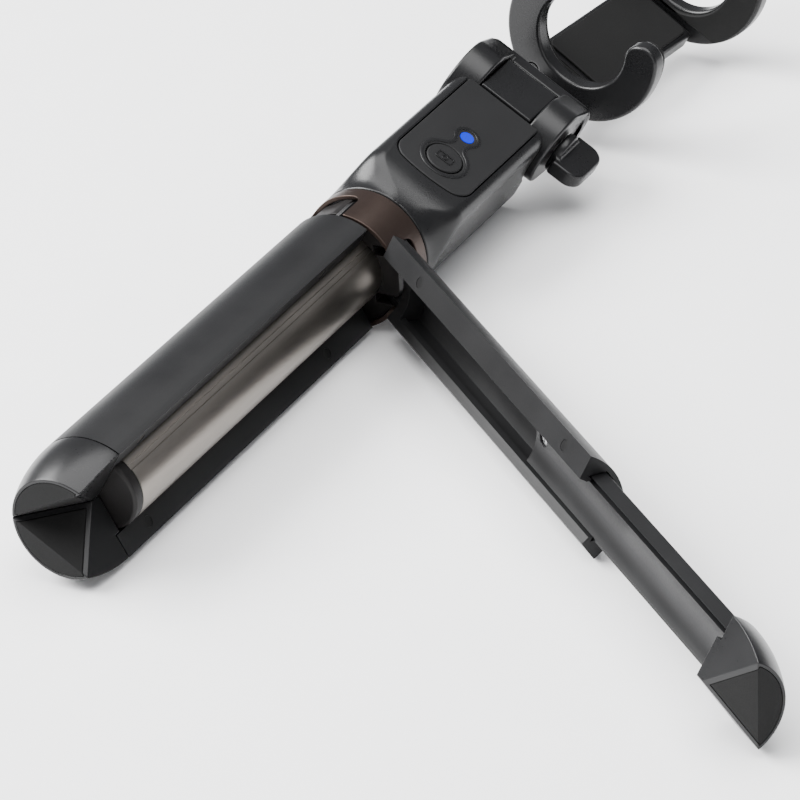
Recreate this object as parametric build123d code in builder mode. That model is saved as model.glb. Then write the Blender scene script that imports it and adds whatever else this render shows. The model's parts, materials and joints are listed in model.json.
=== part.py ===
"""Tripod selfie stick, lying on a table with one leg swung out and extended.

World frame: +X along the stick towards its head, +Z up, table at Z = 0.
A station is a plane square to the stick: its X is a radial direction, its Y runs
round the stick and its Z is the stick's own direction.
"""

import os

from build123d import *

os.makedirs("parts", exist_ok=True)

# ---------------------------------------------------------------- driving dimensions (mm)
HANDLE_R = 17.0            # closed legs, collar and the round end of the head
LEG_TOP = 121.0            # the leg shells run from the foot seam to here
COLLAR_LOW = 122.0
COLLAR_HIGH = 136.4
HEAD_LOW = 136.8
HEAD_END = 197.0

# legs
HINGE_S = 128.7            # hinge pin, along the stick from the foot seam
HINGE_R = 12.0             # hinge pin, out from the stick's axis
LEG_OPEN = 52.0            # angle of the opened leg
LEG_DRAWN = 74.0           # how far the opened leg's slide is drawn out
REST_ROLL = 0.7925           # the stick rolls this far until the opened foot touches the table
SEAM_GAP = 0.17            # wedge apex shift that leaves a gap between closed legs
TROUGH_R = 10.75           # inner edge of the leg shells
CHANNEL_R = 15.7
CHANNEL_HALF = 9.3
LIP_HALF = 7.9
LIP_R = 12.0
SLIDE_PLAY = 0.3
SLIDE_TOP = 112.0
PIN_R = 1.3
LUG_IN, LUG_OUT = 6.0, 8.4
LUG_R = 2.8

# feet
FOOT_TIP = -15.4           # the flat at the tip of a foot
FOOT_TIP_R = 13.8
FOOT_APEX = -0.8           # where the three sloping faces meet on the axis
FOOT_RIDGE = 6.9           # the fold between the sloping face and the flat
FOOT_BACK = 1.8
PAD_DEEP = 1.5
PAD_INSET = 0.9

# pole: five tubes, each in the one before it
TUBE_R = [10.2, 9.2, 8.2, 7.2, 6.2]
TUBE_WALL = 0.5
TUBE_LOW = [5.9, 14.0, 16.0, 18.0, 20.0]
TUBE_HIGH = [136.4, 137.2, 138.0, 138.8, 150.0]
BUSH_LONG = 7.0
BUSH_PLAY = 0.05

# head, in its own station: X is up out of the remote's face, Y to the thumb knob's side
FACE_TURN = 120.0          # round the stick from the closed seam of legs A and B
HEAD_TOP = 18.7
HEAD_BOTTOM = -13.0
HEAD_HALF = 15.5
FACE_CORNER, BACK_CORNER = 4.0, 9.0
SHOULDER = [(136.8, 0.0), (139.0, 0.08), (142.2, 0.42), (145.6, 0.84), (149.0, 1.0)]
BAY_HALF = 12.2
BAY_LOW, BAY_HIGH = 151.0, 196.3
BAY_BOW = 1.6              # the lower end of the bay and the remote is bowed by this much
BAY_CORNER = 5.5
BAY_FLOOR = 10.7
REMOTE_PLAY = 0.3
BUTTON_S, BUTTON_R = 161.6, 5.2
LED_S, LED_R = 174.4, 2.0
LED_UNDER = 16.6           # the lens ends just above the coin cell

# tilt joint
TILT_S, TILT_N = 205.0, 10.2
EAR_R = 11.5
EAR_ROOM = 0.9
EAR_IN, EAR_OUT = 8.8, 17.4
BLOCK_HALF = 8.5
BLOCK_END = 214.0
SCREW_R = 2.0
RUNNING = 0.05
PADDLE_ROOT, PADDLE_END = 19.4, 29.0
PADDLE_HALF, PADDLE_THICK = 8.2, 4.6

BRIDGE_S = 218.3           # the bracket's bridge starts here, clear of the block's corners
BRIDGE_THICK = 4.7
BRIDGE_HALF, BRIDGE_TOP = 18.0, 14.8
ARM_UNDER, ARM_FACE = -6.8, -2.9

# phone clamp
SWIVEL_S = 254.0
CLAMP_TURN = 5.0           # the clamp stands this far round on its swivel
CLAMP_ASIDE = 3.0          # the clamp sits this far over towards the thumb knob
PLATE_HALF = 12.0
PLATE_HIGH = 297.0
PLATE_UNDER, PLATE_FACE = -2.5, 3.5
JAW_S = 238.5
JAW_THICK = 5.0
JAW_GAP = 56.0
JAW_N = 19.5
JAW_IN, JAW_OUT = 14.0, 24.5
JAW_SWEEP = 112.0          # each arm, round from the jaw's base
JAW_PAD = 1.5

# middle of the whole object's box, so that the origin is at the middle of its base
MIDDLE_X = 145.52
MIDDLE_Y = -83.82

LEGS = {"a": (60.0, 0.0, 0.0), "b": (300.0, 0.0, 0.0), "c": (180.0, LEG_OPEN, LEG_DRAWN)}


def station(s, turn):
    """Plane square to the stick at s, its X at an angle round the stick."""
    spin = Location((0, 0, 0), (turn + REST_ROLL, 0, 0))
    across = Plane(origin=(0, 0, 0), x_dir=(0, 1, 0), z_dir=(1, 0, 0))
    return Location((s - MIDDLE_X, -MIDDLE_Y, HANDLE_R)) * spin * across.location


def moved(frame, x=0.0, y=0.0, z=0.0):
    """Plane shifted within a frame."""
    return Plane(frame * Location((x, y, z)))


def lengthwise(frame, y=0.0):
    """Plane whose X runs along the frame's Z and whose Y runs along the frame's X."""
    side = Plane(origin=(0, 0, 0), x_dir=(0, 0, 1), z_dir=(0, 1, 0))
    return Plane(frame * Location((0, y, 0)) * side.location)


def facing(frame, x=0.0):
    """Plane that looks out along the frame's X, its own X along the frame's Z."""
    front = Plane(origin=(0, 0, 0), x_dir=(0, 0, 1), z_dir=(1, 0, 0))
    return Plane(frame * Location((x, 0, 0)) * front.location)


def save(part, label):
    part.label = label
    export_step(part, f"parts/{label}.step")


def leg_frame(turn, opened, drawn=0.0):
    """Frame of a leg: the closed leg's station, swung about its hinge and drawn out."""
    hinge = Location((HINGE_R, 0, HINGE_S))
    swung = hinge * Location((0, 0, 0), (0, -opened, 0)) * hinge.inverse()
    return station(0, turn) * swung * Location((0, 0, -drawn))


def wedge(apex):
    """Sketch of a 120 degree wedge with its apex moved out along X."""
    reach = 3 * HANDLE_R
    Polygon((apex, 0), (apex + reach * 0.5, -reach * 0.8660254), (apex + reach * 0.5, reach * 0.8660254),
            align=None, mode=Mode.INTERSECT)


# ---------------------------------------------------------------- legs
def leg_shell(frame):
    with BuildPart() as shell:
        with BuildSketch(moved(frame, z=0.3)):
            Circle(HANDLE_R)
            Circle(TROUGH_R, mode=Mode.SUBTRACT)
            wedge(SEAM_GAP)
        extrude(amount=LEG_TOP - 0.3)
        with BuildSketch(moved(frame, z=-1)):
            Circle(CHANNEL_R)
            Circle(LIP_R, mode=Mode.SUBTRACT)
            with Locations((HANDLE_R / 2, 0)):
                Rectangle(HANDLE_R, 2 * CHANNEL_HALF, mode=Mode.INTERSECT)
        extrude(amount=LEG_TOP - 3.5, mode=Mode.SUBTRACT)
        with BuildSketch(moved(frame, z=-1)):
            Circle(LIP_R + 0.1)
            with Locations((HANDLE_R / 2, 0)):
                Rectangle(HANDLE_R, 2 * LIP_HALF, mode=Mode.INTERSECT)
        extrude(amount=LEG_TOP - 3.5, mode=Mode.SUBTRACT)
        for side in (LUG_IN, -LUG_OUT):
            with BuildSketch(lengthwise(frame, side)):
                with Locations((HINGE_S, HINGE_R)):
                    Circle(LUG_R)
                with Locations((LEG_TOP - 2.0, HINGE_R)):
                    Rectangle(4, 5.2)
                make_hull()
            extrude(amount=LUG_OUT - LUG_IN)
        with BuildSketch(lengthwise(frame, -LUG_OUT - 1)):
            with Locations((HINGE_S, HINGE_R)):
                Circle(PIN_R + RUNNING)
        extrude(amount=2 * LUG_OUT + 2, mode=Mode.SUBTRACT)
        for low, side in ((12.0, 1), (100.0, 1), (12.0, -1), (100.0, -1)):
            with Locations(magnet_seat(frame, low, side)):
                Cylinder(1.5, 2.4, mode=Mode.SUBTRACT)
    return shell.part


def magnet_seat(frame, s, side):
    """Location on a leg's radial face, its Z square to that face."""
    face = frame * Location((0, 0, s), (0, 0, side * 60.0))
    return face * Location((13.6, 0, 0), (90, 0, 0))


def leg_magnets(frame):
    with BuildPart() as magnets:
        for low, side in ((12.0, 1), (100.0, 1), (12.0, -1), (100.0, -1)):
            with Locations(magnet_seat(frame, low, side) * Location((0, 0, side * 0.7))):
                Cylinder(1.45, 0.9)
    return magnets.part


def leg_slide(frame):
    with BuildPart() as slide:
        with BuildSketch(moved(frame)):
            Circle(CHANNEL_R - SLIDE_PLAY)
            Circle(LIP_R + SLIDE_PLAY, mode=Mode.SUBTRACT)
            with Locations((HANDLE_R / 2, 0)):
                Rectangle(HANDLE_R, 2 * (CHANNEL_HALF - SLIDE_PLAY), mode=Mode.INTERSECT)
        extrude(amount=SLIDE_TOP)
        with BuildSketch(moved(frame)):
            Circle(LIP_R + SLIDE_PLAY + 0.05)
            Circle(TROUGH_R + 0.35, mode=Mode.SUBTRACT)
            with Locations((HANDLE_R / 2, 0)):
                Rectangle(HANDLE_R, 2 * (LIP_HALF - SLIDE_PLAY), mode=Mode.INTERSECT)
        extrude(amount=SLIDE_TOP)
        for side in (-1, 1):
            with Locations(moved(frame, x=12.5, y=side * 5.2, z=SLIDE_TOP / 2)):
                Box(2.4, 1.4, SLIDE_TOP - 12, mode=Mode.SUBTRACT)
        with Locations(moved(frame, x=11.6, z=SLIDE_TOP - 4)):
            Cylinder(2.0, 1.8, rotation=(0, 90, 0), mode=Mode.SUBTRACT)
            Cylinder(0.9, 7.2, rotation=(0, 90, 0), mode=Mode.SUBTRACT)
    return slide.part


def slide_screw(frame):
    with BuildPart() as screw:
        with Locations(moved(frame, x=12.0, z=SLIDE_TOP - 4)):
            Cylinder(1.8, 0.9, rotation=(0, 90, 0))
        with Locations(moved(frame, x=13.5, z=SLIDE_TOP - 4)):
            Cylinder(0.85, 2.8, rotation=(0, 90, 0))
        with Locations(moved(frame, x=11.6, z=SLIDE_TOP - 4)):
            Box(0.6, 2.2, 0.45, mode=Mode.SUBTRACT)
            Box(0.6, 0.45, 2.2, mode=Mode.SUBTRACT)
    return screw.part


def foot_blank(frame, inset, apex):
    """Dome-ended wedge of a foot, less the corner that its sloping face cuts away."""
    with BuildPart() as blank:
        with BuildSketch(lengthwise(frame)):
            with BuildLine():
                Line((0, 0), (0, HANDLE_R - inset))
                ThreePointArc((0, HANDLE_R - inset), (FOOT_TIP * 0.55, HANDLE_R - inset - 0.95),
                              (FOOT_TIP, FOOT_TIP_R - inset))
                Line((FOOT_TIP, FOOT_TIP_R - inset), (FOOT_TIP, 0))
                Line((FOOT_TIP, 0), (0, 0))
            make_face()
        revolve(axis=Axis(frame.position, moved(frame).z_dir))
        with BuildSketch(moved(frame, z=FOOT_TIP)):
            Circle(HANDLE_R + 1)
            wedge(apex)
        extrude(amount=-FOOT_TIP, mode=Mode.INTERSECT)
        with BuildSketch(lengthwise(frame, -20)):
            Polygon((FOOT_APEX, 0), (FOOT_TIP, FOOT_RIDGE), (FOOT_TIP - 5, FOOT_RIDGE), (FOOT_TIP - 5, -5),
                    (FOOT_APEX, -5), align=None)
        extrude(amount=40, mode=Mode.SUBTRACT)
    return blank.part


def foot_body(frame, pad):
    with BuildPart() as foot:
        add(foot_blank(frame, 0.0, SEAM_GAP))
        with BuildSketch(moved(frame)):
            Circle(TROUGH_R - 0.3)
            wedge(SEAM_GAP)
        extrude(amount=FOOT_BACK)
        add(pad, mode=Mode.SUBTRACT)
    return foot.part


def foot_pad(frame, inset, apex, deep):
    """Rubber layer along the sloping face and the flat, folded at the ridge."""
    slope = (Vector(FOOT_TIP, FOOT_RIDGE) - Vector(FOOT_APEX, 0)).normalized()
    normal = Vector(-slope.Y, slope.X) * -1.0
    near = Vector(FOOT_APEX, 0) + normal * deep
    fold = near + slope * ((FOOT_TIP + deep - near.X) / slope.X)
    back = near - slope * 12.0
    with BuildPart() as pad:
        add(foot_blank(frame, inset, apex))
        with BuildSketch(lengthwise(frame, -20)):
            Polygon((fold.X, fold.Y), (fold.X, 30), (12, 30), (back.X, back.Y), align=None)
        extrude(amount=40, mode=Mode.SUBTRACT)
    return pad.part


for name, (turn, opened, drawn) in LEGS.items():
    shell_frame = leg_frame(turn, opened)
    slide_frame = leg_frame(turn, opened, drawn)
    save(leg_shell(shell_frame), f"leg_{name}_shell")
    save(leg_magnets(shell_frame), f"leg_{name}_magnets")
    save(leg_slide(slide_frame), f"leg_{name}_slide")
    save(slide_screw(slide_frame), f"leg_{name}_slide_screw")
    pocket = foot_pad(slide_frame, PAD_INSET - 0.1, 1.1, PAD_DEEP)
    save(foot_body(slide_frame, pocket), f"leg_{name}_foot")
    save(foot_pad(slide_frame, PAD_INSET, 1.25, PAD_DEEP), f"leg_{name}_foot_pad")

# ---------------------------------------------------------------- collar, hub and pins
with BuildPart() as hinge_collar:
    with BuildSketch(moved(station(COLLAR_LOW, 0))):
        Circle(HANDLE_R)
        Circle(HANDLE_R - 1.2, mode=Mode.SUBTRACT)
    extrude(amount=COLLAR_HIGH - COLLAR_LOW)
    for turn, _, _ in LEGS.values():
        with BuildSketch(Plane(station(0, turn) * Location((8, 0, 0)) * Location((0, 0, 0), (0, 90, 0)))):
            with Locations((-COLLAR_LOW - 4.0, 0)):
                RectangleRounded(12.4, 17.6, 2.4)
        extrude(amount=12, mode=Mode.SUBTRACT)
save(hinge_collar.part, "hinge_collar")

with BuildPart() as hinge_hub:
    with BuildSketch(moved(station(124.0, 0))):
        Circle(HANDLE_R - 1.2)
        Circle(TUBE_R[0], mode=Mode.SUBTRACT)
    extrude(amount=COLLAR_HIGH - 124.0)
    for turn, _, _ in LEGS.values():
        for side in (-1, 1):
            with Locations(moved(station(126.5, turn), x=15.0, y=side * 7.2)):
                Box(14, 2.8, 12.2, mode=Mode.SUBTRACT)
        with Locations(moved(station(124.0, turn), x=17.5)):
            Box(4.4, 17.2, 17.0, mode=Mode.SUBTRACT)
        with Locations(moved(station(HINGE_S, turn), x=HINGE_R)):
            Cylinder(PIN_R, 24, rotation=(90, 0, 0), mode=Mode.SUBTRACT)
save(hinge_hub.part, "hinge_hub")

with BuildPart() as hinge_pins:
    for turn, _, _ in LEGS.values():
        with Locations(moved(station(HINGE_S, turn), x=HINGE_R)):
            Cylinder(PIN_R, 2 * LUG_OUT, rotation=(90, 0, 0))
save(hinge_pins.part, "hinge_pins")

# ---------------------------------------------------------------- telescopic pole
with BuildPart() as pole_end_cap:
    with BuildSketch(moved(station(2.4, 0))):
        Circle(TUBE_R[0])
    extrude(amount=TUBE_LOW[0] - 2.4)
    chamfer(pole_end_cap.edges().group_by(Axis.X)[0], 0.6)
    with BuildSketch(moved(station(TUBE_LOW[0], 0))):
        Circle(TUBE_R[0] - TUBE_WALL)
    extrude(amount=5)
save(pole_end_cap.part, "pole_end_cap")

for index, outer in enumerate(TUBE_R):
    with BuildPart() as tube:
        with BuildSketch(moved(station(TUBE_LOW[index], 0))):
            Circle(outer)
            Circle(outer - TUBE_WALL, mode=Mode.SUBTRACT)
        extrude(amount=TUBE_HIGH[index] - TUBE_LOW[index])
    save(tube.part, f"pole_tube_{index + 1}")

for index in range(1, len(TUBE_R)):
    around = TUBE_R[index]
    inside = TUBE_R[index - 1] - TUBE_WALL
    with BuildPart() as glide:
        with BuildSketch(moved(station(TUBE_LOW[index], 0))):
            Circle(inside - BUSH_PLAY)
            Circle(around, mode=Mode.SUBTRACT)
        extrude(amount=BUSH_LONG)
    save(glide.part, f"tube_glide_{index + 1}")
    with BuildPart() as guide:
        with BuildSketch(moved(station(TUBE_HIGH[index - 1] - BUSH_LONG, 0))):
            Circle(inside)
            Circle(around + BUSH_PLAY, mode=Mode.SUBTRACT)
        extrude(amount=BUSH_LONG)
    save(guide.part, f"tube_guide_{index}")

# ---------------------------------------------------------------- head
head = station(0, FACE_TURN)
HEAD_MID = (HEAD_TOP + HEAD_BOTTOM) / 2
HEAD_TALL = HEAD_TOP - HEAD_BOTTOM
PARTING = -5.0             # the underside cover meets the head shell at this height
BAY_MID = (BAY_LOW + BAY_HIGH) / 2
BLOCK_ROOT = 188.0


def head_section(s, square):
    """Face across the head, from round at the collar (square 0) to its full section (square 1)."""
    tall = 2 * HANDLE_R + (HEAD_TALL - 2 * HANDLE_R) * square
    wide = 2 * HANDLE_R + (2 * HEAD_HALF - 2 * HANDLE_R) * square
    round_corner = HANDLE_R - 0.1
    with BuildSketch(moved(head, x=HEAD_MID * square, z=s)) as section:
        Rectangle(tall, wide)
        back, front = section.vertices().group_by(Axis.X)
        fillet(back, round_corner + (BACK_CORNER - round_corner) * square)
        front = section.vertices().sort_by(Axis.X)[-2:]
        fillet(front, round_corner + (FACE_CORNER - round_corner) * square)
    return section.sketch


def head_outside():
    """Round at the collar, a rounded rectangle at the remote, cut away for the ears."""
    sections = [head_section(s, square).face() for s, square in SHOULDER]
    with BuildPart() as outside:
        loft(sections)
        extrude(sections[-1], amount=HEAD_END - SHOULDER[-1][0])
        with BuildSketch(moved(head, z=HEAD_LOW)):
            Circle(TUBE_R[1] + 0.4)
        extrude(amount=4.0, mode=Mode.SUBTRACT)
        with BuildSketch(moved(head, z=HEAD_LOW)):
            Circle(TUBE_R[-1])
        extrude(amount=TUBE_HIGH[-1] - HEAD_LOW, mode=Mode.SUBTRACT)
        with BuildSketch(moved(head, x=-1.2, z=BAY_LOW + 4)):
            RectangleRounded(18.6, 25, 4)
        extrude(amount=BLOCK_ROOT - BAY_LOW - 6, mode=Mode.SUBTRACT)
        with BuildSketch(lengthwise(head, -20)):
            with Locations((TILT_S, TILT_N)):
                Circle(EAR_R + EAR_ROOM)
        extrude(amount=40, mode=Mode.SUBTRACT)
        with Locations(moved(head, x=4.0, z=BLOCK_ROOT + 6)):
            Box(12.4, 2 * BLOCK_HALF + 0.2, 12.0, mode=Mode.SUBTRACT)
    return outside.part


def bowed(low, high, half, corner):
    """Outline with a bowed lower end and round corners there."""
    with BuildSketch() as outline:
        with BuildLine():
            Line((high, -half), (low + BAY_BOW, -half))
            ThreePointArc((low + BAY_BOW, -half), (low, 0), (low + BAY_BOW, half))
            Line((low + BAY_BOW, half), (high, half))
            Line((high, half), (high, -half))
        make_face()
        fillet(outline.vertices().group_by(Axis.X)[0], corner)
    return outline.sketch


bay_outline = bowed(BAY_LOW, BAY_HIGH + 20, BAY_HALF, BAY_CORNER)

with BuildPart() as head_shell:
    add(head_outside())
    with BuildSketch(facing(head, BAY_FLOOR)):
        add(bay_outline)
    extrude(amount=20, mode=Mode.SUBTRACT)
    with BuildSketch(facing(head, PARTING)):
        with Locations((BAY_MID, 0)):
            Rectangle(120, 60)
    extrude(amount=-30, mode=Mode.SUBTRACT)
save(head_shell.part, "head_shell")

with BuildPart() as head_underside:
    add(head_outside())
    with BuildSketch(facing(head, PARTING)):
        with Locations((BAY_MID, 0)):
            Rectangle(120, 60)
    extrude(amount=40, mode=Mode.SUBTRACT)
    for s in (158.0, 184.0):
        for t in (-7.5, 7.5):
            with Locations(moved(head, x=HEAD_BOTTOM + 1.0, y=t, z=s)):
                Cylinder(1.6, 2.4, rotation=(0, 90, 0), mode=Mode.SUBTRACT)
save(head_underside.part, "head_underside")

with BuildPart() as head_screws:
    for s in (158.0, 184.0):
        for t in (-7.5, 7.5):
            with Locations(moved(head, x=HEAD_BOTTOM + 1.3, y=t, z=s)):
                Cylinder(1.6, 1.8, rotation=(0, 90, 0))
            with Locations(moved(head, x=HEAD_BOTTOM + 0.4, y=t, z=s)):
                Box(0.8, 2.0, 0.4, mode=Mode.SUBTRACT)
                Box(0.8, 0.4, 2.0, mode=Mode.SUBTRACT)
save(head_screws.part, "head_screws")

with BuildPart() as tilt_block:
    with BuildSketch(lengthwise(head, -BLOCK_HALF)) as side:
        with Locations(((HEAD_END + BLOCK_END) / 2, (HEAD_TOP + 1.0) / 2)):
            Rectangle(BLOCK_END - HEAD_END, HEAD_TOP - 1.0)
        fillet(side.vertices().group_by(Axis.X)[-1].sort_by(Axis.Y)[0], 7.0)
        fillet(side.vertices().group_by(Axis.X)[-1].sort_by(Axis.Y)[-1], 1.5)
        with Locations(((BLOCK_ROOT + 202.0) / 2, 4.0)):
            Rectangle(202.0 - BLOCK_ROOT, 12.2)
    extrude(amount=2 * BLOCK_HALF)
    with Locations(moved(head, x=TILT_N, z=TILT_S)):
        Cylinder(SCREW_R + RUNNING, 20, rotation=(90, 0, 0), mode=Mode.SUBTRACT)
save(tilt_block.part, "tilt_block")

# ---------------------------------------------------------------- remote
REMOTE_HALF = BAY_HALF - REMOTE_PLAY
REMOTE_LOW = BAY_LOW + REMOTE_PLAY
REMOTE_HIGH = 196.0
TRAY_UNDER = BAY_FLOOR + 0.1
COVER_UNDER = 17.2
BUTTON_FLANGE = 6.3


remote_outline = bowed(REMOTE_LOW, REMOTE_HIGH, REMOTE_HALF, BAY_CORNER - REMOTE_PLAY)


def ear_relief():
    """Hollow at the remote's far end that keeps it clear of the bracket's ears."""
    with BuildPart() as relief:
        with BuildSketch(lengthwise(head, -20)):
            with Locations((TILT_S, TILT_N)):
                Circle(EAR_R + EAR_ROOM)
        extrude(amount=40)
    return relief.part


with BuildPart() as remote_tray:
    with BuildSketch(facing(head, TRAY_UNDER)):
        add(remote_outline)
    extrude(amount=COVER_UNDER - TRAY_UNDER)
    with BuildSketch(facing(head, TRAY_UNDER + 1.2)):
        with Locations(((REMOTE_LOW + 1.2 + 191.4) / 2, 0)):
            RectangleRounded(191.4 - REMOTE_LOW - 1.2, 2 * REMOTE_HALF - 2.4, 3.5)
    extrude(amount=10, mode=Mode.SUBTRACT)
    add(ear_relief(), mode=Mode.SUBTRACT)
save(remote_tray.part, "remote_tray")

with BuildPart() as remote_cover:
    with BuildSketch(facing(head, COVER_UNDER)):
        add(remote_outline)
        with Locations((BUTTON_S, 0)):
            Circle(BUTTON_R + 0.3, mode=Mode.SUBTRACT)
        with Locations((LED_S, 0)):
            Circle(LED_R, mode=Mode.SUBTRACT)
    extrude(amount=HEAD_TOP - COVER_UNDER)
    add(ear_relief(), mode=Mode.SUBTRACT)
save(remote_cover.part, "remote_cover")

with BuildPart() as shutter_button:
    with BuildSketch(facing(head, 16.0)):
        with Locations((BUTTON_S, 0)):
            Circle(BUTTON_R)
    extrude(amount=2.9)
    with BuildSketch(facing(head, 15.6)):
        with Locations((BUTTON_S, 0)):
            Circle(BUTTON_FLANGE)
    extrude(amount=0.9)
    fillet(shutter_button.faces().filter_by(GeomType.PLANE).sort_by(Axis.Z)[-1].edges(), 0.4)
save(shutter_button.part, "shutter_button")

with BuildPart() as led_lens:
    with BuildSketch(facing(head, LED_UNDER)):
        with Locations((LED_S, 0)):
            Circle(LED_R)
    extrude(amount=HEAD_TOP - LED_UNDER)
save(led_lens.part, "led_lens")

with BuildPart() as remote_board:
    with BuildSketch(facing(head, 12.9)):
        with Locations((172.0, 0)):
            Rectangle(35, 19.6)
    extrude(amount=1.2)
    with BuildSketch(facing(head, 14.1)):
        with Locations((BUTTON_S, 0)):
            Circle(1.6)
    extrude(amount=0.9)
save(remote_board.part, "remote_board")

with BuildPart() as coin_cell:
    with BuildSketch(facing(head, 14.2)):
        with Locations((183.0, 0)):
            Circle(7.9)
    extrude(amount=2.2)
save(coin_cell.part, "coin_cell")

# ---------------------------------------------------------------- tilt bracket
with BuildPart() as tilt_bracket:
    for side in (EAR_IN, -EAR_OUT):
        with BuildSketch(lengthwise(head, side)):
            with Locations((TILT_S, TILT_N)):
                Circle(EAR_R)
            with Locations((BRIDGE_S + 0.5, 6.4)):
                Rectangle(3.0, 18.8)
            make_hull()
        extrude(amount=EAR_OUT - EAR_IN)
    with BuildSketch(moved(head, x=(BRIDGE_TOP + ARM_UNDER) / 2, z=BRIDGE_S)):
        RectangleRounded(BRIDGE_TOP - ARM_UNDER, 2 * BRIDGE_HALF, 3.0)
    extrude(amount=BRIDGE_THICK)
    with BuildSketch(facing(head, ARM_UNDER)):
        with Locations((BRIDGE_S + 17, -CLAMP_ASIDE)):
            Rectangle(34, 17)
        with Locations((SWIVEL_S, -CLAMP_ASIDE)):
            Circle(8.5)
    extrude(amount=ARM_FACE - ARM_UNDER)
    with Locations(moved(head, x=ARM_FACE, y=CLAMP_ASIDE, z=SWIVEL_S)):
        Cylinder(2.5 + RUNNING, 30, rotation=(0, 90, 0), mode=Mode.SUBTRACT)
    with Locations(moved(head, x=TILT_N, z=TILT_S)):
        Cylinder(SCREW_R + RUNNING, 40, rotation=(90, 0, 0), mode=Mode.SUBTRACT)
    with BuildSketch(lengthwise(head, -EAR_OUT - 1)):
        with Locations((TILT_S, TILT_N)):
            RegularPolygon(3.9, 6)
    extrude(amount=4.2, mode=Mode.SUBTRACT)
save(tilt_bracket.part, "tilt_bracket")

with BuildPart() as tilt_nut:
    with BuildSketch(lengthwise(head, -EAR_OUT + 0.2)):
        with Locations((TILT_S, TILT_N)):
            RegularPolygon(3.9, 6)
            Circle(SCREW_R + RUNNING, mode=Mode.SUBTRACT)
    extrude(amount=3.0)
save(tilt_nut.part, "tilt_nut")

with BuildPart() as tilt_screw:
    with BuildSketch(lengthwise(head, -EAR_OUT)):
        with Locations((TILT_S, TILT_N)):
            Circle(SCREW_R)
    extrude(amount=2 * EAR_OUT + 5)
save(tilt_screw.part, "tilt_screw")

with BuildPart() as thumb_knob:
    with BuildSketch(lengthwise(head, EAR_OUT + 0.4)):
        with Locations((TILT_S, TILT_N)):
            Circle(6.2)
    extrude(amount=2.8)
    with BuildSketch(facing(head, TILT_N - PADDLE_THICK / 2)) as paddle:
        with Locations((TILT_S, -(PADDLE_ROOT + PADDLE_END) / 2)):
            Rectangle(2 * PADDLE_HALF, PADDLE_END - PADDLE_ROOT)
        fillet(paddle.vertices().group_by(Axis.Y)[0], 4.5)
    extrude(amount=PADDLE_THICK)
    with BuildSketch(lengthwise(head, EAR_OUT + 0.4)):
        with Locations((TILT_S, TILT_N)):
            Circle(SCREW_R)
    extrude(amount=4.6, mode=Mode.SUBTRACT)
save(thumb_knob.part, "thumb_knob")

# ---------------------------------------------------------------- phone clamp
swivel = Location((0, CLAMP_ASIDE, SWIVEL_S))
clamp = head * swivel * Location((0, 0, 0), (-CLAMP_TURN, 0, 0)) * Location((0, 0, -SWIVEL_S))
JAW_FACE = JAW_S + JAW_THICK
PAD_FACE = JAW_FACE + JAW_PAD
FAR_S = JAW_FACE + JAW_GAP
RAIL_LOW = 250.0
SCREW_N = 0.6              # the screws through the near jaw, up from the clamp's middle
POST_S = 249.0

with BuildPart() as swivel_pin:
    with BuildSketch(facing(clamp, ARM_UNDER)):
        with Locations((SWIVEL_S, 0)):
            Circle(2.5)
    extrude(amount=-1.35 - ARM_UNDER)
    with BuildSketch(facing(clamp, ARM_UNDER - 1.2)):
        with Locations((SWIVEL_S, 0)):
            Circle(4.5)
    extrude(amount=1.0)
    with BuildSketch(facing(clamp, ARM_UNDER - 0.3)):
        with Locations((SWIVEL_S, 0)):
            Circle(2.5)
    extrude(amount=0.4)
save(swivel_pin.part, "swivel_pin")

with BuildPart() as clamp_plate:
    with BuildSketch(facing(clamp, PLATE_UNDER)):
        with Locations(((JAW_FACE + PLATE_HIGH) / 2, 0)):
            Rectangle(PLATE_HIGH - JAW_FACE, 2 * PLATE_HALF)
    extrude(amount=PLATE_FACE - PLATE_UNDER)
    fillet(clamp_plate.edges().filter_by(lambda edge: abs(edge.length - PLATE_HIGH + JAW_FACE) < 0.01), 1.2)
    with BuildSketch(moved(clamp, x=0.5, z=RAIL_LOW - 3)):
        Rectangle(3.6, 18.0)
    extrude(amount=60, mode=Mode.SUBTRACT)
    with Locations(moved(clamp, x=PLATE_UNDER, z=SWIVEL_S)):
        Cylinder(2.5, 2.5, rotation=(0, 90, 0), mode=Mode.SUBTRACT)
save(clamp_plate.part, "clamp_plate")

with BuildPart() as plate_pad:
    with BuildSketch(facing(clamp, PLATE_FACE)):
        with Locations(((PAD_FACE + PLATE_HIGH) / 2 + 1, 0)):
            RectangleRounded(PLATE_HIGH - PAD_FACE - 5, 2 * PLATE_HALF - 3, 2)
    extrude(amount=0.9)
save(plate_pad.part, "plate_pad")

with BuildPart() as slide_rail:
    with BuildSketch(facing(clamp, -1.0)):
        with Locations(((RAIL_LOW + FAR_S) / 2, 0)):
            Rectangle(FAR_S - RAIL_LOW, 17.4)
        with Locations(((RAIL_LOW + 292.0) / 2 - 1, 0)):
            Rectangle(292.0 - RAIL_LOW + 2, 5.0, mode=Mode.SUBTRACT)
    extrude(amount=3.0)
save(slide_rail.part, "slide_rail")

with BuildPart() as spring_post:
    with BuildSketch(facing(clamp, -1.3)):
        with Locations((POST_S, 0)):
            Circle(1.1)
    extrude(amount=3.6)
save(spring_post.part, "spring_post")

with BuildPart() as clamp_spring:
    with BuildSketch(moved(clamp, x=0.5, z=POST_S + 1.3)):
        Circle(1.3)
        Circle(0.9, mode=Mode.SUBTRACT)
    extrude(amount=292.0 - POST_S - 1.5)
save(clamp_spring.part, "clamp_spring")


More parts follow.
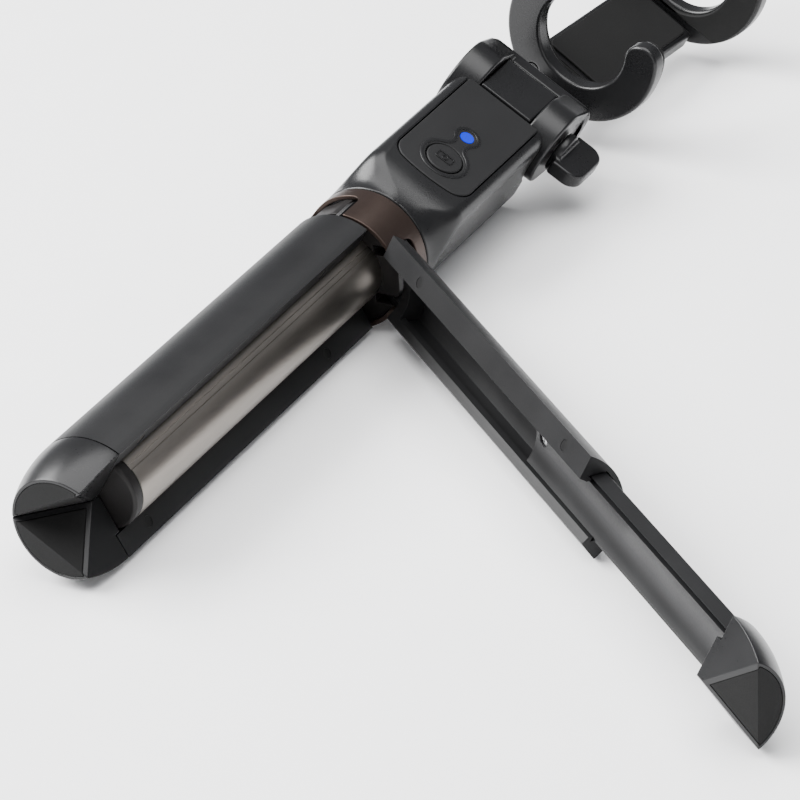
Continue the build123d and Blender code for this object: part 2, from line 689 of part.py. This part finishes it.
def horseshoe(s, thick, inner, outer, floor):
    """Jaw standing square to the clamp plate, open away from it."""
    with BuildPart() as jaw:
        with BuildSketch(moved(clamp, x=JAW_N, z=s)):
            Circle(outer)
            Circle(inner, mode=Mode.SUBTRACT)
            Polygon((0, 0), (40, -40 * 2.6), (40, 40 * 2.6), align=None, mode=Mode.SUBTRACT)
            middle = (inner + outer) / 2
            with PolarLocations(middle, 2, start_angle=180 - JAW_SWEEP, angular_range=2 * JAW_SWEEP,
                                endpoint=True):
                Circle((outer - inner) / 2)
            with Locations((floor - JAW_N - 20, 0)):
                Rectangle(40, 80, mode=Mode.SUBTRACT)
        extrude(amount=thick)
    return jaw.part


with BuildPart() as near_jaw:
    add(horseshoe(JAW_S, JAW_THICK, JAW_IN, JAW_OUT, PLATE_UNDER))
    for t in (-8.0, 8.0):
        with Locations(moved(clamp, x=SCREW_N, y=t, z=JAW_S + 0.6)):
            Cylinder(1.75, 2.0, mode=Mode.SUBTRACT)
save(near_jaw.part, "near_jaw")
save(horseshoe(JAW_FACE, JAW_PAD, JAW_IN + 0.8, JAW_OUT - 0.6, PLATE_FACE + 1.0), "near_jaw_pad")
save(horseshoe(FAR_S, JAW_THICK, JAW_IN, JAW_OUT, PLATE_UNDER), "far_jaw")
save(horseshoe(FAR_S - JAW_PAD, JAW_PAD, JAW_IN + 0.8, JAW_OUT - 0.6, PLATE_FACE + 1.0), "far_jaw_pad")

with BuildPart() as jaw_screws:
    for t in (-8.0, 8.0):
        with Locations(moved(clamp, x=SCREW_N, y=t, z=JAW_S + 0.9)):
            Cylinder(1.7, 1.4)
        with Locations(moved(clamp, x=SCREW_N, y=t, z=JAW_S + 0.4)):
            Box(2.2, 0.45, 0.6, mode=Mode.SUBTRACT)
            Box(0.45, 2.2, 0.6, mode=Mode.SUBTRACT)
save(jaw_screws.part, "jaw_screws")
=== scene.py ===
# %% [markdown]
# # A tripod selfie stick
# This lesson dresses a selfie stick whose handle splits into three legs. Its working parts
# arrive as a finished frame, so every piece made here is placed by that frame: nothing is
# moved by eye. Lengths are written in millimetres and multiplied by MM, because Blender
# counts in metres.

# %% Load the frame
import json
import math

import bmesh
import bpy
from mathutils import Matrix, Vector


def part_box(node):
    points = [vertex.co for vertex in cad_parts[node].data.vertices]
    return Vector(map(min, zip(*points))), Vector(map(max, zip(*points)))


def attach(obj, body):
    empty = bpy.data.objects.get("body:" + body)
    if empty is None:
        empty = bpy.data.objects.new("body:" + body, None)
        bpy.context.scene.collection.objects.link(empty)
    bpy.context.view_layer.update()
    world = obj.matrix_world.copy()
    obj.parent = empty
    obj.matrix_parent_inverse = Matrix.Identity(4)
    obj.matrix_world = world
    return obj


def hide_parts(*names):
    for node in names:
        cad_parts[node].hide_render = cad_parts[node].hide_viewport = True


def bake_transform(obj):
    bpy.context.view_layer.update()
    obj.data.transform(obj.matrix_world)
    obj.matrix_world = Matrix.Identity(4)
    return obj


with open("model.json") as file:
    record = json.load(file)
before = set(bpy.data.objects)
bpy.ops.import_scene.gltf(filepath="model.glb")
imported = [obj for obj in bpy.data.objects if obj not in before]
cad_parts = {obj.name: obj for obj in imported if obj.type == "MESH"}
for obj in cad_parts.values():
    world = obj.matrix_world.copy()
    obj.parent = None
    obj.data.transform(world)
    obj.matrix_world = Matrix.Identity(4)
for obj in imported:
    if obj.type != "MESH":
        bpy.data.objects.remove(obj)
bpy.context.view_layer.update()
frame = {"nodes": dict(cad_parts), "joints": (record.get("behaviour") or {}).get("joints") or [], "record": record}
MM = 0.001
joints = {joint["name"]: joint for joint in frame["joints"]}

# %% [markdown]
# ## Places to work in
# A stick is easiest to think about in its own directions: along it, out from its middle,
# and round it. The joints already know these directions, so each working place is a
# matrix made from a joint: X points out, Y across, and Z along the stick.


# %% Working places
def place(origin, out, across):
    """Matrix at an origin: X along out, Y along across and Z square to both."""
    out, across = Vector(out).normalized(), Vector(across).normalized()
    along = out.cross(across)
    matrix = Matrix((out, across, along)).transposed().to_4x4()
    matrix.translation = Vector(origin)
    return matrix


def shifted(matrix, out=0.0, across=0.0, along=0.0):
    """The same place moved by millimetres in its own directions."""
    return matrix @ Matrix.Translation((out * MM, across * MM, along * MM))


COLLAR_FROM_FOOT = 122.0
TILT_OUT, TILT_ALONG = 10.2, 205.0
SWIVEL_OUT, SWIVEL_ALONG = -2.9, 254.0

collar_low, collar_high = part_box("hinge_collar")
stick_middle = (collar_low + collar_high) / 2
handle_r = (collar_high.z - collar_low.z) / 2 / MM

face_out = Vector(joints["remote_lift"]["axis"])
face_across = Vector(joints["clamp_tilt"]["axis"])
head = shifted(place(joints["clamp_tilt"]["pos_m"], face_out, face_across), -TILT_OUT, 0, -TILT_ALONG)
stick = shifted(place((collar_low.x, stick_middle.y, stick_middle.z), (0, 1, 0), (0, 0, 1)), along=-COLLAR_FROM_FOOT)

clamp_along = Vector(joints["jaw_slide"]["axis"])
clamp = shifted(place(joints["clamp_swivel"]["pos_m"], face_out, clamp_along.cross(face_out)),
                -SWIVEL_OUT, 0, -SWIVEL_ALONG)

print("handle radius", round(handle_r, 2), "mm, stick starts at x", round(stick.translation.x / MM, 1), "mm")

# %% [markdown]
# ## A small kit for pieces
# Each piece is modelled in its own place and then carried to the frame, so that its object
# stays at the origin. Faces are shaded smooth, except across edges sharper than a given
# angle, and a weighted normal keeps broad flats looking flat beside a rounded edge.


# %% Finishing a piece
SHARP = math.radians(38)
MERGE = 0.02 * MM


def finish_piece(name, bm, body, material, where=None, replaces=(), sharp=SHARP):
    """Turn a bmesh into a riding piece of the stick."""
    if where is not None:
        bmesh.ops.transform(bm, matrix=where, verts=bm.verts)
    for face in bm.faces:
        face.smooth = True
    for edge in bm.edges:
        edge.smooth = len(edge.link_faces) == 2 and edge.calc_face_angle(0) < sharp
    mesh = bpy.data.meshes.new(name)
    bm.to_mesh(mesh)
    bm.free()
    piece = bpy.data.objects.new(name, mesh)
    bpy.context.scene.collection.objects.link(piece)
    mesh.materials.append(material)
    weighted = piece.modifiers.new("even_shading", "WEIGHTED_NORMAL")
    weighted.keep_sharp = True
    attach(piece, body)
    if replaces:
        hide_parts(*replaces)
    return piece


def softened(node, width, segments=3, corner=35.0, shortest=0.0, clamped=False):
    """Copy of a CAD node, its loose triangles joined and its sharp edges rounded over."""
    bm = bmesh.new()
    bm.from_mesh(frame["nodes"][node].data)
    bmesh.ops.remove_doubles(bm, verts=bm.verts, dist=MERGE)
    bmesh.ops.dissolve_limit(bm, angle_limit=math.radians(0.2), verts=bm.verts, edges=bm.edges)
    before = bm.calc_volume()
    edges = [edge for edge in bm.edges
             if len(edge.link_faces) == 2 and edge.calc_face_angle(0) > math.radians(corner)
             and edge.calc_length() > shortest * MM]
    bmesh.ops.bevel(bm, geom=edges, offset=width * MM, offset_type="OFFSET", affect="EDGES",
                    segments=segments, profile=0.5, material=-1, clamp_overlap=clamped)
    bmesh.ops.remove_doubles(bm, verts=bm.verts, dist=MERGE)
    print(f"{node}: {len(edges)} edges rounded, volume {before:.3e} -> {bm.calc_volume():.3e}, faces {len(bm.faces)}")
    return bm


# %% [markdown]
# ## Finishes
# Moulded plastic is never one flat colour: its mould leaves a fine grain, and its gloss
# drifts a little from place to place. One function mixes both from noise on Object
# coordinates, so that the grain keeps its real size on every piece.


# %% A grained finish
def grained(name, dark, light, roughness, grain, depth, metallic=0.0, stretch=(1.0, 1.0, 1.0), coat=0.0,
            specular=0.5, drift=18.0):
    """Material with fine grain, in millimetres, and slow drifts in colour and gloss."""
    material = bpy.data.materials.new(name)
    material.use_nodes = True
    tree = material.node_tree
    shader = tree.nodes["Principled BSDF"]
    shader.inputs["Metallic"].default_value = metallic
    shader.inputs["Coat Weight"].default_value = coat
    shader.inputs["Coat Roughness"].default_value = 0.12
    shader.inputs["Specular IOR Level"].default_value = specular
    spot = tree.nodes.new("ShaderNodeTexCoord")
    turn = tree.nodes.new("ShaderNodeMapping")
    turn.inputs["Scale"].default_value = stretch
    tree.links.new(spot.outputs["Object"], turn.inputs["Vector"])

    def noise(scale, detail, vector):
        node = tree.nodes.new("ShaderNodeTexNoise")
        node.inputs["Scale"].default_value = scale
        node.inputs["Detail"].default_value = detail
        tree.links.new(vector, node.inputs["Vector"])
        return node.outputs["Fac"]

    slow = noise(1 / (drift * MM), 4.0, spot.outputs["Object"])
    fine = noise(1 / (grain * MM), 3.0, turn.outputs["Vector"])
    colour = tree.nodes.new("ShaderNodeMix")
    colour.data_type = "RGBA"
    colour.inputs["A"].default_value = (*dark, 1)
    colour.inputs["B"].default_value = (*light, 1)
    tree.links.new(slow, colour.inputs["Factor"])
    tree.links.new(colour.outputs["Result"], shader.inputs["Base Color"])
    gloss = tree.nodes.new("ShaderNodeMapRange")
    gloss.inputs["From Min"].default_value = 0.3
    gloss.inputs["From Max"].default_value = 0.7
    gloss.inputs["To Min"].default_value = roughness[0]
    gloss.inputs["To Max"].default_value = roughness[1]
    both = tree.nodes.new("ShaderNodeMath")
    both.operation = "MULTIPLY_ADD"
    both.inputs[1].default_value = 0.5
    tree.links.new(fine, both.inputs[0])
    half = tree.nodes.new("ShaderNodeMath")
    half.operation = "MULTIPLY"
    half.inputs[1].default_value = 0.5
    tree.links.new(slow, half.inputs[0])
    tree.links.new(half.outputs["Value"], both.inputs[2])
    tree.links.new(both.outputs["Value"], gloss.inputs["Value"])
    tree.links.new(gloss.outputs["Result"], shader.inputs["Roughness"])
    bump = tree.nodes.new("ShaderNodeBump")
    bump.inputs["Strength"].default_value = 1.0
    bump.inputs["Distance"].default_value = depth * MM
    tree.links.new(fine, bump.inputs["Height"])
    tree.links.new(bump.outputs["Normal"], shader.inputs["Normal"])
    return material


# %% [markdown]
# ## The stick's own finishes
# Almost everything here is black, so the pieces are told apart by gloss and not by colour:
# the feet are shiny, the legs satin, the pads nearly flat. The first pole tube is a warm
# grey metal, brushed along its length, so its grain is stretched that way.

# %% The stick's finishes
leg_black = grained("leg_black", (0.005, 0.005, 0.0055), (0.009, 0.009, 0.0095), (0.38, 0.52), 0.35, 0.012, specular=0.22)
slide_black = grained("slide_black", (0.005, 0.005, 0.0055), (0.009, 0.009, 0.0095), (0.34, 0.48), 0.5, 0.008,
                      specular=0.2)
foot_black = grained("foot_black", (0.005, 0.005, 0.0055), (0.008, 0.008, 0.0085), (0.24, 0.36), 0.5, 0.006,
                     specular=0.28)
head_black = grained("head_black", (0.005, 0.005, 0.0055), (0.009, 0.009, 0.0095), (0.24, 0.34), 0.6, 0.006,
                     specular=0.3)
face_black = grained("face_black", (0.006, 0.006, 0.0065), (0.010, 0.010, 0.0105), (0.46, 0.58), 0.25, 0.010,
                     specular=0.22)
rubber_black = grained("rubber_black", (0.004, 0.004, 0.004), (0.008, 0.008, 0.008), (0.6, 0.78), 0.3, 0.02,
                       specular=0.16)
inner_black = grained("inner_black", (0.005, 0.0045, 0.0045), (0.009, 0.008, 0.008), (0.4, 0.55), 0.4, 0.008,
                      specular=0.2)
pole_metal = grained("pole_metal", (0.24, 0.22, 0.20), (0.29, 0.265, 0.24), (0.34, 0.44), 0.25, 0.002,
                     metallic=1.0, stretch=(0.03, 1.0, 1.0))
collar_bronze = grained("collar_bronze", (0.034, 0.023, 0.019), (0.050, 0.034, 0.028), (0.3, 0.42), 0.3, 0.003,
                        metallic=0.75, stretch=(1.0, 0.05, 0.05))
plated_steel = grained("plated_steel", (0.55, 0.55, 0.55), (0.72, 0.72, 0.72), (0.2, 0.32), 0.2, 0.002, metallic=1.0)
blackened_steel = grained("blackened_steel", (0.02, 0.02, 0.02), (0.035, 0.035, 0.036), (0.3, 0.42), 0.2, 0.002,
                          metallic=0.8)
board_green = grained("board_green", (0.006, 0.05, 0.02), (0.012, 0.09, 0.03), (0.3, 0.5), 0.6, 0.004)
cell_nickel = grained("cell_nickel", (0.5, 0.49, 0.46), (0.66, 0.65, 0.62), (0.22, 0.34), 0.3, 0.002, metallic=1.0)

led_blue = grained("led_blue", (0.0, 0.008, 0.25), (0.004, 0.02, 0.5), (0.08, 0.14), 0.8, 0.002)
led_shader = led_blue.node_tree.nodes["Principled BSDF"]
led_shader.inputs["Emission Color"].default_value = (0.0, 0.02, 1.0, 1)
led_shader.inputs["Emission Strength"].default_value = 0.4

FINISH = {
    "leg_shell": leg_black, "leg_slide": slide_black, "foot_gloss": foot_black, "foot_rubber": rubber_black,
    "steel": plated_steel, "pole_metal": pole_metal, "inner_plastic": inner_black, "collar_bronze": collar_bronze,
    "head_satin": head_black, "remote_matte": face_black, "led_blue": led_blue, "board": board_green,
    "cell": cell_nickel, "clamp_rubber": rubber_black,
}
node_slot = {part["node"]: part["material_slot"] for part in frame["record"]["subparts"]}
BLACKENED = {"leg_a_magnets", "leg_b_magnets", "leg_c_magnets", "jaw_screws"}


def node_finish(node):
    """The finish of a CAD node: some small steel pieces are blackened."""
    return blackened_steel if node in BLACKENED else FINISH[node_slot[node]]


for node, thing in frame["nodes"].items():
    thing.data.materials.clear()
    thing.data.materials.append(node_finish(node))
node_body = {node: body for body, nodes in frame["record"]["behaviour"]["bodies"].items() for node in nodes}
print("finishes:", len(FINISH))

# %% [markdown]
# ## Rounding the moulded shells
# A mould leaves no knife edge, and a rounded edge is what catches the light on a black
# piece. Each shell is a copy of its frame part with its sharp edges bevelled. The widths
# are small where walls are thin, since a bevel wider than a wall turns it inside out.

# %% Rounded shells
ROUNDED = {
    "leg_a_shell": 0.2, "leg_b_shell": 0.2, "leg_c_shell": 0.2,
    "leg_a_slide": 0.2, "leg_b_slide": 0.2, "leg_c_slide": 0.2,
    "leg_a_foot": 0.2, "leg_b_foot": 0.2, "leg_c_foot": 0.2,
    "leg_a_foot_pad": 0.12, "leg_b_foot_pad": 0.12, "leg_c_foot_pad": 0.12,
    "hinge_collar": 0.25, "head_shell": 0.5, "head_underside": 0.4, "tilt_block": 0.5, "tilt_bracket": 0.8,
    "thumb_knob": 0.8, "near_jaw": 1.0, "far_jaw": 1.0, "near_jaw_pad": 0.5, "far_jaw_pad": 0.5,
    "clamp_plate": 0.5, "plate_pad": 0.3, "slide_rail": 0.3, "remote_tray": 0.3, "remote_cover": 0.35,
    "pole_end_cap": 0.3, "hinge_hub": 0.2,
}
THIN_WALLED = {"leg_a_shell", "leg_b_shell", "leg_c_shell"}
for node, width in ROUNDED.items():
    thin = node in THIN_WALLED
    finish_piece(f"{node}_rounded", softened(node, width, shortest=0.8 if thin else 0.0, clamped=thin),
                 node_body[node], FINISH[node_slot[node]], replaces=(node,))
print("rounded shells:", len(ROUNDED))

# %% [markdown]
# ## Raised bands
# The border on the remote, its camera mark and the grooved pole tube are all one shape: a
# wall between an outer and an inner outline. Two edge loops are bridged into a flat band
# and the band is extruded, which stays clean however the outline curves.


# %% A band between two outlines
def band(outer, inner, low, high, spot, soft=0.0):
    """Solid wall between two outlines of equal length, from one height to another."""
    bm = bmesh.new()
    loops = []
    for outline in (outer, inner):
        verts = [bm.verts.new(spot(a, b, low)) for a, b in outline]
        loops += [bm.edges.new((verts[i], verts[(i + 1) % len(verts)])) for i in range(len(verts))]
    faces = bmesh.ops.bridge_loops(bm, edges=loops)["faces"]
    raised = bmesh.ops.extrude_face_region(bm, geom=faces)["geom"]
    lift = spot(0, 0, high) - spot(0, 0, low)
    top = [item for item in raised if isinstance(item, bmesh.types.BMFace)]
    bmesh.ops.translate(bm, vec=lift, verts=[item for item in raised if isinstance(item, bmesh.types.BMVert)])
    bmesh.ops.recalc_face_normals(bm, faces=bm.faces)
    if soft:
        chosen = set(top)
        rim = {edge for face in top for edge in face.edges if not all(link in chosen for link in edge.link_faces)}
        bmesh.ops.bevel(bm, geom=list(rim), offset=soft * MM, offset_type="OFFSET", affect="EDGES", segments=3,
                        profile=0.5, material=-1, clamp_overlap=True)
    return bm


def on_face(a, b, height):
    """A point on the head's face: along the stick, across it, and up out of the face."""
    return Vector((height, b, a)) * MM


def round_stick(a, b, height):
    """A point square to the stick, and along it."""
    return Vector((a, b, height)) * MM


def arc(middle, radius, start, end, steps):
    """Points on an arc, its angles in radians."""
    return [(middle[0] + radius * math.cos(start + (end - start) * i / steps),
             middle[1] + radius * math.sin(start + (end - start) * i / steps)) for i in range(steps)]


print("bands are bridged and extruded")

# %% [markdown]
# ## The remote's border and mark
# The raised border runs round the button, narrows, and goes on round the light. Its outline
# is four arcs that meet without a corner, so where they meet follows from their radii. The
# mark on the button is a plain camera: a frame with a ring for its lens.

# %% The remote's border and mark
FACE_UP = 18.7
BUTTON_ALONG, BUTTON_UP, LIGHT_ALONG = 161.6, 18.9, 174.4
BORDER_R, LIGHT_R, WAIST_R, BORDER_HALF = 6.7, 3.4, 3.5, 0.55
apart = LIGHT_ALONG - BUTTON_ALONG
from_button, from_light = BORDER_R + WAIST_R, LIGHT_R + WAIST_R
waist_along = (from_button ** 2 - from_light ** 2 + apart ** 2) / (2 * apart)
waist_across = math.sqrt(from_button ** 2 - waist_along ** 2)
button_meets = math.atan2(waist_across, waist_along)
light_meets = math.atan2(waist_across, waist_along - apart)


def border_outline(aside):
    """The border's middle line moved outwards by a distance."""
    button, light = (BUTTON_ALONG, 0), (LIGHT_ALONG, 0)
    near = (BUTTON_ALONG + waist_along, waist_across)
    far = (BUTTON_ALONG + waist_along, -waist_across)
    waist = WAIST_R - aside
    return (arc(button, BORDER_R + aside, button_meets, 2 * math.pi - button_meets, 72)
            + arc(far, waist, math.pi - button_meets, math.pi - light_meets, 16)
            + arc(light, LIGHT_R + aside, -light_meets, light_meets, 40)
            + arc(near, waist, light_meets - math.pi, button_meets - math.pi, 16))


def rounded_rectangle(half_along, half_across, corner, steps=6):
    """Outline round the button's middle with round corners."""
    points = []
    for quarter, (a, b) in enumerate(((1, 1), (-1, 1), (-1, -1), (1, -1))):
        middle = (BUTTON_ALONG + a * (half_along - corner), b * (half_across - corner))
        points += arc(middle, corner, quarter * math.pi / 2, (quarter + 1) * math.pi / 2, steps)
    return points


def circle(radius, steps=32):
    """Outline of a circle round the button's middle."""
    return arc((BUTTON_ALONG, 0), radius, 0, 2 * math.pi, steps)


border = band(border_outline(BORDER_HALF), border_outline(-BORDER_HALF), FACE_UP - 0.1, FACE_UP + 0.22, on_face, 0.12)
finish_piece("remote_border", border, "remote", head_black, where=head)
frame_mark = band(rounded_rectangle(1.5, 2.6, 0.6), rounded_rectangle(1.15, 2.25, 0.25),
                  BUTTON_UP - 0.1, BUTTON_UP + 0.25, on_face, 0.05)
finish_piece("camera_mark_frame", frame_mark, "shutter_button", head_black, where=head)
lens_mark = band(circle(0.95), circle(0.62), BUTTON_UP - 0.1, BUTTON_UP + 0.25, on_face, 0.05)
finish_piece("camera_mark_lens", lens_mark, "shutter_button", head_black, where=head)
print("waist of the border", round(2 * (waist_across - WAIST_R), 2), "mm")

# %% [markdown]
# ## The grooved pole tube
# The outer tube is drawn with one shallow groove along it, which keys it against turning.
# Only the outer outline dips there, so the tube stays round inside.

# %% Grooved pole tube
TUBE_OUT, TUBE_IN, TUBE_FROM, TUBE_TO = 10.2, 9.7, 5.9, 136.4
GROOVE_AT, GROOVE_WIDE, GROOVE_DEEP = math.radians(134.5), 1.4, 0.3
TUBE_STEPS = 360


def tube_outline(radius, deep):
    """A circle that dips by a depth across the groove."""
    points = []
    for i in range(TUBE_STEPS):
        angle = 2 * math.pi * i / TUBE_STEPS
        inside = abs(angle - GROOVE_AT) * radius < GROOVE_WIDE / 2
        reach = radius - deep if inside else radius
        points.append((reach * math.cos(angle), reach * math.sin(angle)))
    return points


tube = band(tube_outline(TUBE_OUT, GROOVE_DEEP), tube_outline(TUBE_IN, 0), TUBE_FROM, TUBE_TO, round_stick)
finish_piece("pole_tube_grooved", tube, "base", pole_metal, where=stick, replaces=("pole_tube_1",))
print("groove", GROOVE_WIDE, "mm wide and", GROOVE_DEEP, "mm deep")

# %% [markdown]
# ## The clamp's spring
# A coil is one small circle spun round an axis while it moves along it. It hangs between the clamp and its rail.

# %% Clamp spring
COIL_R, WIRE_R, COIL_OUT, COIL_FROM, COIL_TO, COIL_TURNS = 1.1, 0.2, 0.5, 250.5, 291.6, 40
bm = bmesh.new()
section = Matrix.Translation(((COIL_OUT + COIL_R) * MM, 0, COIL_FROM * MM)) @ Matrix.Rotation(math.pi / 2, 4, "X")
ring = bmesh.ops.create_circle(bm, segments=8, radius=WIRE_R * MM, matrix=section)
coil_steps = COIL_TURNS * 12
bmesh.ops.spin(bm, geom=ring["verts"] + list(bm.edges), cent=(COIL_OUT * MM, 0, 0), axis=(0, 0, 1),
               dvec=(0, 0, (COIL_TO - COIL_FROM) * MM / coil_steps), angle=2 * math.pi * COIL_TURNS,
               steps=coil_steps, use_merge=False)
bmesh.ops.holes_fill(bm, edges=[edge for edge in bm.edges if len(edge.link_faces) == 1], sides=8)
bmesh.ops.recalc_face_normals(bm, faces=bm.faces)
bmesh.ops.transform(bm, matrix=clamp, verts=bm.verts)
for face in bm.faces:
    face.smooth = True
coil_mesh = bpy.data.meshes.new("clamp_coil")
bm.to_mesh(coil_mesh)
bm.free()
coil = bpy.data.objects.new("clamp_coil", coil_mesh)
bpy.context.scene.collection.objects.link(coil)
coil_mesh.materials.append(plated_steel)
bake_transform(coil)
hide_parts("clamp_spring")
print("coil turns:", COIL_TURNS, "faces:", len(coil_mesh.polygons))

# %% [markdown]
# ## The table, the light and the camera
# The stick lies on a pale table in a soft studio. A broad lamp behind and to the left draws
# long soft highlights along the black shells, and a weaker one fills from the right.

# %% Table
bm = bmesh.new()
bmesh.ops.create_grid(bm, x_segments=1, y_segments=1, size=4.0)
floor_mesh = bpy.data.meshes.new("table")
bm.to_mesh(floor_mesh)
bm.free()
table = bpy.data.objects.new("table", floor_mesh)
bpy.context.scene.collection.objects.link(table)
table_white = grained("table_white", (0.90, 0.90, 0.905), (0.92, 0.92, 0.925), (0.45, 0.55), 2.0, 0.002)
floor_mesh.materials.append(table_white)
print("table laid")

# %% [markdown]
# ## Lamps
# Black plastic shows what it reflects and little else, so the lamps are large panels: their
# shapes are what is seen along the legs. The sky behind them is kept low, so that the
# blacks stay black.


# %% Lamps
def lamp(name, spot, target, size, power, colour=(1, 1, 1)):
    """A square soft box that looks at a target."""
    data = bpy.data.lights.new(name, "AREA")
    data.shape = "RECTANGLE"
    data.size, data.size_y = size
    data.energy = power
    data.color = colour
    thing = bpy.data.objects.new(name, data)
    bpy.context.scene.collection.objects.link(thing)
    aim = Vector(target) - Vector(spot)
    thing.matrix_world = Matrix.Translation(spot) @ aim.to_track_quat("-Z", "Y").to_matrix().to_4x4()
    return thing


middle = stick @ Vector((0, 0, 110 * MM))
lamp("window", middle + Vector((-0.35, 0.95, 0.9)), middle, (1.2, 0.8), 70)
lamp("overhead", middle + Vector((0.1, -0.1, 1.3)), middle, (1.4, 1.4), 42)
lamp("front_fill", middle + Vector((-1.2, -0.9, 0.5)), middle, (0.9, 0.9), 8)
world = bpy.data.worlds.new("studio")
world.use_nodes = True
world.node_tree.nodes["Background"].inputs["Color"].default_value = (0.93, 0.95, 1.0, 1)
world.node_tree.nodes["Background"].inputs["Strength"].default_value = 0.3
bpy.context.scene.world = world
print("lamps:", len(bpy.data.lights))

# %% [markdown]
# ## Camera
# A long lens from well back keeps the stick's thickness true from its feet to its clamp.
# The camera is placed from the collar, where the open leg and the head meet.

# %% Camera
CAMERA_FROM_COLLAR = Vector((-0.8198, -0.5044, 0.5340))
LOOK_FROM_COLLAR = Vector((-0.0123, -0.0176, -0.0327))
CAMERA_LEAN = math.radians(-3.91)
collar_spot = stick @ Vector((0, 0, 129 * MM))
camera_data = bpy.data.cameras.new("camera")
camera_data.lens = 186.9
camera_data.sensor_width = 36.0
camera_data.clip_start = 0.05
camera = bpy.data.objects.new("camera", camera_data)
bpy.context.scene.collection.objects.link(camera)
spot, look = collar_spot + CAMERA_FROM_COLLAR, collar_spot + LOOK_FROM_COLLAR
turn = (look - spot).to_track_quat("-Z", "Y").to_matrix().to_4x4()
camera.matrix_world = Matrix.Translation(spot) @ turn @ Matrix.Rotation(CAMERA_LEAN, 4, "Z")
bpy.context.scene.camera = camera
print("camera", round((look - spot).length, 3), "m from what it looks at")
